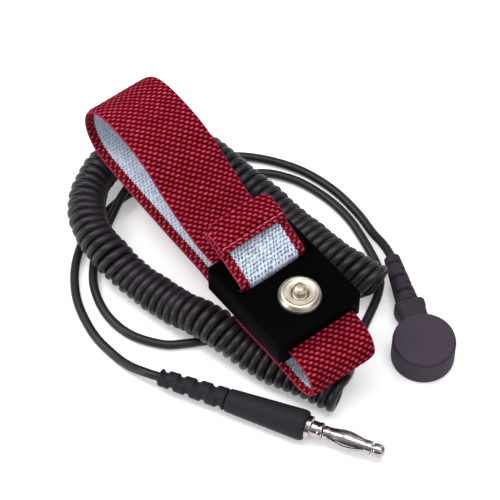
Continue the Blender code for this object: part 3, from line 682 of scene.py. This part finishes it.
def webbing_points(path, along, across, lift, drift):
    """Points of a strip along a path in X and Z, with its red side on the left of the path's direction.

    The drift is places along the strip and how far each lies to the side, in mm.
    """
    tangent = np.gradient(path, axis=0)
    tangent /= np.linalg.norm(tangent, axis=1)[:, None]
    outward = np.stack([-tangent[:, 1], tangent[:, 0]], axis=1)
    x = path[:, 0, None] + outward[:, 0, None] * lift
    z = path[:, 1, None] + outward[:, 1, None] * lift
    y = (across + 0.12 * np.sin(along / 8.3) * np.sign(across) + np.interp(along, *drift)) * MM
    return np.stack([x, y, z], axis=-1)


def webbing_mesh(name, path, start_mm=0.0, shape=None, drift=((0, 0), (0, 0))):
    """A woven strip with red, edge and grey faces. Its UV map holds the place in the weave in mm."""
    path = np.array(path)
    steps = np.linalg.norm(np.diff(path, axis=0), axis=1)
    along = start_mm + np.concatenate([[0], np.cumsum(steps)]) / MM
    across, offset, face, push = np.array(band_section(BAND_COLUMNS)).T
    u, v = np.meshgrid(along, across, indexing="ij")
    fade = np.clip((BAND_WIDTH / 2 - 0.5 - np.abs(v)) / 0.8, 0, 1)
    relief = (weave_height(u, v) - 0.4) * 0.2 * fade
    ripple = 0.10 * np.sin(u / 5.7 + v * 0.12) * np.cos(v / 6.1) + 0.07 * np.sin(u / 2.9 - v * 0.31)
    points = webbing_points(path, u, v, (offset + push * relief + ripple) * MM, drift)
    if shape:
        points = shape(points, u)
    rows, wide = u.shape
    index = np.arange(rows * wide).reshape(rows, wide)
    beside = np.roll(index, -1, axis=1)
    quads = np.stack([index[:-1], beside[:-1], beside[1:], index[1:]], axis=-1).reshape(-1, 4)
    ends = [list(index[0]), list(index[-1][::-1])]
    mesh = bpy.data.meshes.new(name)
    mesh.from_pydata(points.reshape(-1, 3).tolist(), [], [*quads.tolist(), *ends])
    which = np.where(face == np.roll(face, -1), face, EDGE)
    slots = np.concatenate([np.tile(which, rows - 1), [EDGE, EDGE]]).astype(np.int32)
    mesh.polygons.foreach_set("material_index", slots)
    corners = np.zeros(len(mesh.loops), np.int32)
    mesh.loops.foreach_get("vertex_index", corners)
    places = np.stack([u.ravel(), v.ravel()], axis=1)[corners]
    mesh.uv_layers.new(name="weave").data.foreach_set("uv", places.astype(np.float32).ravel())
    mesh.shade_smooth()
    mesh.update()
    return mesh


def hem_path(flap):
    """The fold at the free end's tip and the layer that lies back on top of it."""
    end, before = Vector(flap[-1]), Vector(flap[-6])
    along = (end - before).normalized()
    up = Vector((along.y, -along.x))
    gap = (BAND_THICK + 0.35) * MM
    centre = end + up * gap / 2
    angles = [math.pi * i / 12 for i in range(1, 12)]
    fold = [centre - up * math.cos(a) * gap / 2 + along * math.sin(a) * gap * 0.55 for a in angles]
    back = []
    for i in range(23):
        rise = gap * (1 + 0.25 * math.sin(math.pi * i / 22))
        back.append(end + up * rise - along * 0.00033 * i)
    return [tuple(point) for point in fold + back]


def hem_sag(x, y):
    """How far the sewn end hangs below its plain path, in mm: more towards its tip and its corners."""
    corner = np.clip((np.abs(y) - 6.5) / 3.5, 0, 1) ** 2
    return np.clip((-8.5 - x) / 12, 0, 1) ** 1.5 * (0.7 + 1.1 * corner)


def hem_shape(points, u):
    """Lets the sewn end sag, swells it a little and presses its seam in."""
    x, y = points[..., 0] / MM, points[..., 1] / MM
    left = u.max() - u
    seam = 0.6 * np.exp(-(((left - 1.5) / 0.32) ** 2))
    swell = 0.35 * np.sin(y / 2.3 + 0.6) * np.exp(-(((left - 4.5) / 2.0) ** 2))
    points[..., 2] += (swell - seam - hem_sag(x, y)) * MM
    points[..., 0] += np.clip((-8.5 - x) / 12, 0, 1) ** 1.5 * 0.7 * (y / 10) ** 2 * MM
    return points


def stitches(place, up):
    """A row of short stitches lying in the hem's seam."""
    bm = bmesh.new()
    for y in np.arange(-8.6, 8.7, 2.15):
        sag = hem_sag(place.x / MM, y) * MM
        centre = Vector((place.x, y * MM, place.y - sag)) + Vector((up.x, 0, up.y)) * 0.38 * MM
        lie = Matrix.Translation(centre) @ Matrix.Rotation(math.pi / 2, 4, "X")
        lie = lie @ Matrix.Diagonal((0.22 * MM, 0.22 * MM, 0.85 * MM, 1))
        bmesh.ops.create_uvsphere(bm, u_segments=10, v_segments=8, radius=1, matrix=lie)
    return mesh_from(bm, "hem_stitches")


def add_band(looks):
    webbing = [looks["red"], looks["edge"], looks["grey"]]
    mesh = webbing_mesh("wrist_band", smooth_points(BAND_ROUTE, 0.00032), drift=BAND_DRIFT)
    band = add_piece("wrist_band", mesh, webbing, replaces=["band"], matrix=AT_HOME)
    flap = smooth_points(FREE_ROUTE, 0.00030)
    whole = [*[tuple(point) for point in flap], *hem_path(flap)]
    mesh = webbing_mesh("free_end_webbing", whole, start_mm=FREE_START, shape=hem_shape)
    tip = add_piece("free_end_webbing", mesh, webbing, body=None, replaces=["free_end"],
                    matrix=AT_HOME)
    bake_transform(tip)
    seam, after = Vector(whole[-5]), Vector(whole[-2])
    up = Vector((seam.y - after.y, after.x - seam.x)).normalized()
    add_piece("hem_stitches", stitches(seam, up), looks["thread"], body="free_end",
              matrix=AT_HOME)
    return band, tip


# ---------------------------------------------------------------- buckle and stud


def add_buckle(looks):
    low, high = (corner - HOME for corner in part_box("housing_cover"))
    half = (high - low) / 2 / MM
    corner, wall = 1.0, 1.3
    outline = []
    for sx, sy in ((1, 1), (-1, 1), (-1, -1), (1, -1)):
        ends = [(sx * half.x, sy * (half.y - corner)), (sx * (half.x - corner), sy * half.y)]
        outline += ends if sx * sy > 0 else ends[::-1]
    rings = []
    for z, share in ((low.z, 1.0), (high.z - 0.0003, 1.0), (high.z, 0.985)):
        rings.append([(x * share * MM, y * share * MM, z) for x, y in outline])
    cuts = [
        box_mesh("cavity", (-half.x + wall, -half.y + wall, -1), (half.x - wall, half.y - wall, 6.8)),
        box_mesh("entry", (-half.x - 1, -10.6, 4.7), (-half.x + 2, 10.6, 6.8)),
        box_mesh("exit", (half.x - 2, -10.6, 1.6), (half.x + 1, 10.6, 4.1)),
        box_mesh("slot", (-5.9, -10.6, 6), (-2.9, 10.6, 9)),
    ]
    mesh = carved("buckle_cover", loft("buckle_cover", rings), cuts, bevel=0.25)
    add_piece("buckle_cover", mesh, looks["housing"], replaces=["housing_cover"],
              matrix=AT_HOME)


def add_stud(looks):
    low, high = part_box("snap_stud")
    centre = (low + high) / 2
    base = low.z / MM
    outline = [
        (0.0, base + 4.35), (0.9, base + 4.3), (1.5, base + 3.95), (1.72, base + 3.45), (1.6, base + 3.0),
        (1.35, base + 2.6), (1.35, base + 1.0), (1.9, base + 0.9), (2.15, base + 1.2), (2.3, base + 1.75),
        (2.6, base + 1.82), (2.8, base + 1.78), (3.0, base + 1.84), (3.2, base + 1.8), (3.45, base + 1.88),
        (3.65, base + 1.84), (3.85, base + 1.92), (4.0, base + 2.1), (4.25, base + 2.18), (4.45, base + 2.1),
        (4.65, base + 2.05), (5.1, base + 1.6), (5.4, base + 1.1), (5.5, base + 0.6), (5.5, base + 0.1),
        (5.4, base), (1.7, base), (1.7, base + 0.8), (0.0, base + 0.8),
    ]
    mesh = turned("stud_turned", rounded(outline, 0.12, 3))
    place = Matrix.Translation((centre.x, centre.y, 0))
    add_piece("stud_turned", mesh, looks["stud"], replaces=["snap_stud"], matrix=place)


# ---------------------------------------------------------------- boots, cap and plug


def boot_mesh(name, length, start_radius, end_radius, bore, grooves, sides=72):
    """A tapered strain relief, sized in mm.

    A groove is its place, half width and depth in mm, its middle angle and its half spread.
    """
    heights = np.linspace(0, length, round(length / 0.14))
    z, turn = np.meshgrid(heights, np.arange(sides) * 2 * math.pi / sides, indexing="ij")
    radius = start_radius + (end_radius - start_radius) * z / length
    radius -= 0.4 * np.clip(1 - np.minimum(z, length - z) / 0.4, 0, 1) ** 2
    for place, half, depth, middle, spread in grooves:
        along = np.clip(1.6 - np.abs(z - place) / half, 0, 1)
        off = np.abs((turn - middle + math.pi) % (2 * math.pi) - math.pi)
        around = np.clip((spread - off) / 0.4, 0, 1)
        radius -= depth * (along * around) ** 0.8
    points = np.stack([radius * np.cos(turn), radius * np.sin(turn), z], axis=-1) * MM
    ends = []
    for height in (0, length):
        ends.append([(bore * MM * math.cos(a), bore * MM * math.sin(a), height * MM) for a in turn[0]])
    return loft(name, [ends[0], *points.tolist(), ends[1]], hollow=True)


def superellipse(width, height, power, count=48):
    """An outline between an ellipse (power 2) and a rectangle (a high power)."""
    points = []
    for i in range(count):
        a = 2 * math.pi * i / count
        c, s = math.cos(a), math.sin(a)
        points.append((
            math.copysign(abs(c) ** (2 / power), c) * width / 2,
            math.copysign(abs(s) ** (2 / power), s) * height / 2,
        ))
    return points


def add_cap(looks, cap_place, cap_axis):
    height, radius = CAP_HEIGHT, CAP_RADIUS
    outline = [
        (0.0, height), (radius - 0.5, height), (radius - 0.12, height - 0.4), (radius - 0.34, height - 0.72),
        (radius, height - 1.05), (radius + 0.05, 0.5), (radius - 0.2, 0.0),
        (6.3, 0.0), (6.3, 6.2), (0.0, 6.2),
    ]
    mesh = turned("cap_body", rounded(outline, 0.18, 3), 128)
    add_piece("cap_body", mesh, looks["cap"], replaces=["cap_shell"], matrix=cap_place)
    # Place along the neck, width and height, in mm.
    sections = [
        (6.6, 7.2, 6.7), (10.6, 7.5, 6.9), (11.6, 8.1, 7.1), (12.8, 8.2, 7.2), (13.3, 7.8, 6.8),
        (13.6, 7.0, 6.0),
    ]
    rings = []
    for z, wide, high in sections:
        rings.append([(y * MM, x * MM, z * MM) for x, y in superellipse(wide, high, 4)])
    mesh = loft("cap_neck", rings)
    add_piece("cap_neck", mesh, looks["boot"], matrix=cap_axis)
    grooves = [(z, 0.36, 0.75, 2.9, 1.25) for z in (3.0, 7.7, 12.4)]
    grooves += [(z, 0.34, 0.6, 4.15, 0.75) for z in (0.8, 5.3, 10.0)]
    mesh = boot_mesh("cap_boot_slotted", 15.2, 3.05, 2.1, 1.28, grooves)
    place = cap_axis @ Matrix.Translation((0, 0, 0.0138))
    add_piece("cap_boot_slotted", mesh, looks["boot"], replaces=["cap_boot"], matrix=place)


def leaf_layer(bm, middle, spread, radius, bulge, low, high):
    """Rows of points of one leaf's inner or outer face. It bows out and narrows halfway along."""
    rows = []
    for i in range(LEAF_STEPS + 1):
        share = i / LEAF_STEPS
        swell = math.sin(math.pi * min(max((share - 0.06) / 0.88, 0), 1)) ** 1.6
        bowed = (radius + bulge * swell) * MM
        half = spread * (0.97 - 0.24 * math.sin(math.pi * share))
        z = (low + (high - low) * share) * MM
        angles = [middle + half * (2 * j / LEAF_WIDE - 1) for j in range(LEAF_WIDE + 1)]
        rows.append([bm.verts.new((bowed * math.cos(a), bowed * math.sin(a), z)) for a in angles])
    return rows


def leaf_mesh(name, low, high, ring, bulge, wall, leaves=4):
    """The leaves of a spring cage, which bow out between its two end rings."""
    bm = bmesh.new()
    for leaf in range(leaves):
        middle = 2 * math.pi * (leaf + 0.25) / leaves
        inner = leaf_layer(bm, middle, math.pi / leaves, ring, bulge, low, high)
        outer = leaf_layer(bm, middle, math.pi / leaves, ring + wall, bulge, low, high)
        for i in range(LEAF_STEPS):
            for j in range(LEAF_WIDE):
                for layer in (inner, outer):
                    bm.faces.new((layer[i][j], layer[i][j + 1], layer[i + 1][j + 1], layer[i + 1][j]))
            for j in (0, LEAF_WIDE):
                bm.faces.new((inner[i][j], outer[i][j], outer[i + 1][j], inner[i + 1][j]))
        for i in (0, LEAF_STEPS):
            for j in range(LEAF_WIDE):
                bm.faces.new((inner[i][j], inner[i][j + 1], outer[i][j + 1], outer[i][j]))
    return mesh_from(bm, name)


def add_plug_part(name, mesh, look, axis, replaces=(), body=ROOT):
    add_piece(name, mesh, look, body=body, replaces=replaces, matrix=axis)


def add_plug(looks, axis):
    """The plug's parts, as outlines of (radius, place along the plug) in mm."""
    rubber, metal = looks["rubber"], looks["plug"]
    grooves = [(1.5 + 2.16 * i, 0.55, 0.62, math.radians(124 + 180 * (i % 2)), 1.5) for i in range(8)]
    mesh = boot_mesh("plug_boot_slotted", 18.2, 2.25, 2.9, 1.28, grooves)
    add_plug_part("plug_boot_slotted", mesh, rubber, axis, ["plug_boot"])
    outline = [
        (1.9, 18.4), (2.95, 18.4), (3.05, 19.2), (3.98, 38.4), (3.6, 39.4), (2.9, 39.4), (2.9, 39.0),
        (1.9, 39.0),
    ]
    mesh = turned("plug_handle_moulded", rounded(outline, 0.7, 6))
    add_plug_part("plug_handle_moulded", mesh, rubber, axis, ["plug_handle"])
    outline = [
        (0.0, 23.3), (1.5, 23.3), (1.5, 39.3), (2.92, 39.3), (2.95, 40.7), (2.1, 40.9), (2.05, 42.6),
        (2.2, 42.8), (2.2, 43.5), (1.9, 43.9), (1.2, 43.9), (1.2, 56.4), (0.8, 56.4), (0.8, 58.5),
        (0.0, 58.5),
    ]
    mesh = turned("plug_body_turned", rounded(outline, 0.12, 3))
    add_plug_part("plug_body_turned", mesh, metal, axis, ["plug_body"])
    outline = [
        (0.0, 60.0), (0.95, 59.85), (1.55, 59.3), (1.75, 58.5), (1.75, 57.4), (1.6, 57.3), (1.6, 57.1),
        (1.75, 57.0), (1.75, 56.9), (1.1, 56.8), (1.1, 58.7), (0.0, 58.7),
    ]
    mesh = turned("plug_tip_turned", rounded(outline, 0.35, 5))
    add_plug_part("plug_tip_turned", mesh, metal, axis, ["plug_tip"])
    mesh = leaf_mesh("cage_leaves", 44.9, 55.2, 1.42, 0.66, 0.36)
    add_plug_part("cage_leaves", mesh, metal, axis, ["spring_cage"], "spring_cage")
    for name, low, high in (("cage_ring_back", 44.05, 45.3), ("cage_ring_front", 54.8, 56.5)):
        outline = [(1.38, low), (1.8, low), (1.8, high), (1.38, high), (1.38, low)]
        mesh = turned("cage_ring", rounded(outline, 0.1, 2)[1:-1])
        add_plug_part(name, mesh, metal, axis, body="spring_cage")


# ---------------------------------------------------------------- everything together


def frames():
    """The cap's place and cord axis, and the plug's axis, as matrices."""
    low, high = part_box("snap_socket")
    middle = (low + high) / 2
    cap_place = Matrix.Translation((middle.x, middle.y, FLOOR)) @ Matrix.Rotation(CAP_HEADING, 4, "Z")
    cap_axis = cap_place @ Matrix.Translation((0, 0, CAP_AXIS)) @ Matrix.Rotation(math.pi / 2, 4, "Y")
    joint = JOINTS["cage_spin"]
    direction = Vector(joint["axis"])
    heading = math.atan2(direction.y, direction.x)
    plug_axis = (
        Matrix.Translation(Vector(joint["pos_m"]) - direction * CAGE_PLACE)
        @ Matrix.Rotation(heading, 4, "Z")
        @ Matrix.Rotation(math.pi / 2, 4, "Y")
    )
    return cap_place, cap_axis, plug_axis


def make_looks(plug_axis):
    stud_low, stud_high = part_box("snap_stud")
    stud = (stud_low + stud_high) / 2
    along = tuple(plug_axis.to_3x3() @ Vector((0, 0, 1)))
    cage_centre = tuple(JOINTS["cage_spin"]["pos_m"])
    looks = {
        "red": red_webbing(),
        "grey": grey_webbing(),
        "edge": edge_webbing(),
        "thread": thread(),
        "stud": turned_metal(
            "stud_nickel", (0.90, 0.81, 0.66), 0.36, (0, 0, 1), (stud.x, stud.y, 0.02),
            ring=0.00055, depth=0.00004, contrast=0.8,
        ),
        "plug": turned_metal("plug_nickel", (0.60, 0.55, 0.55), 0.18, along, cage_centre),
    }
    looks.update({key: moulded(*values) for key, values in MOULDED.items()})
    looks.update({key: plain_metal(*values) for key, values in PLAIN_METALS.items()})
    return looks


def dress_cad_nodes(looks):
    """Gives each CAD node that stays its own finish."""
    by_slot = {row["node"]: row["material_slot"] for row in frame["record"]["subparts"]}
    stand_in = {"webbing": "red"}
    for name, node in frame["nodes"].items():
        slot = by_slot[name]
        node.data.materials.clear()
        node.data.materials.append(looks[stand_in.get(slot, slot)])
        node.data.shade_smooth()
        node.data.set_sharp_from_angle(angle=math.radians(35))


def main():
    add_camera()
    cap_place, cap_axis, plug_axis = frames()
    looks = make_looks(plug_axis)
    dress_cad_nodes(looks)
    cord, length = add_cord(looks, cap_axis, plug_axis)
    add_studio()
    add_floor()
    band, tip = add_band(looks)
    add_buckle(looks)
    add_stud(looks)
    add_cap(looks, cap_place, cap_axis)
    add_plug(looks, plug_axis)


main()
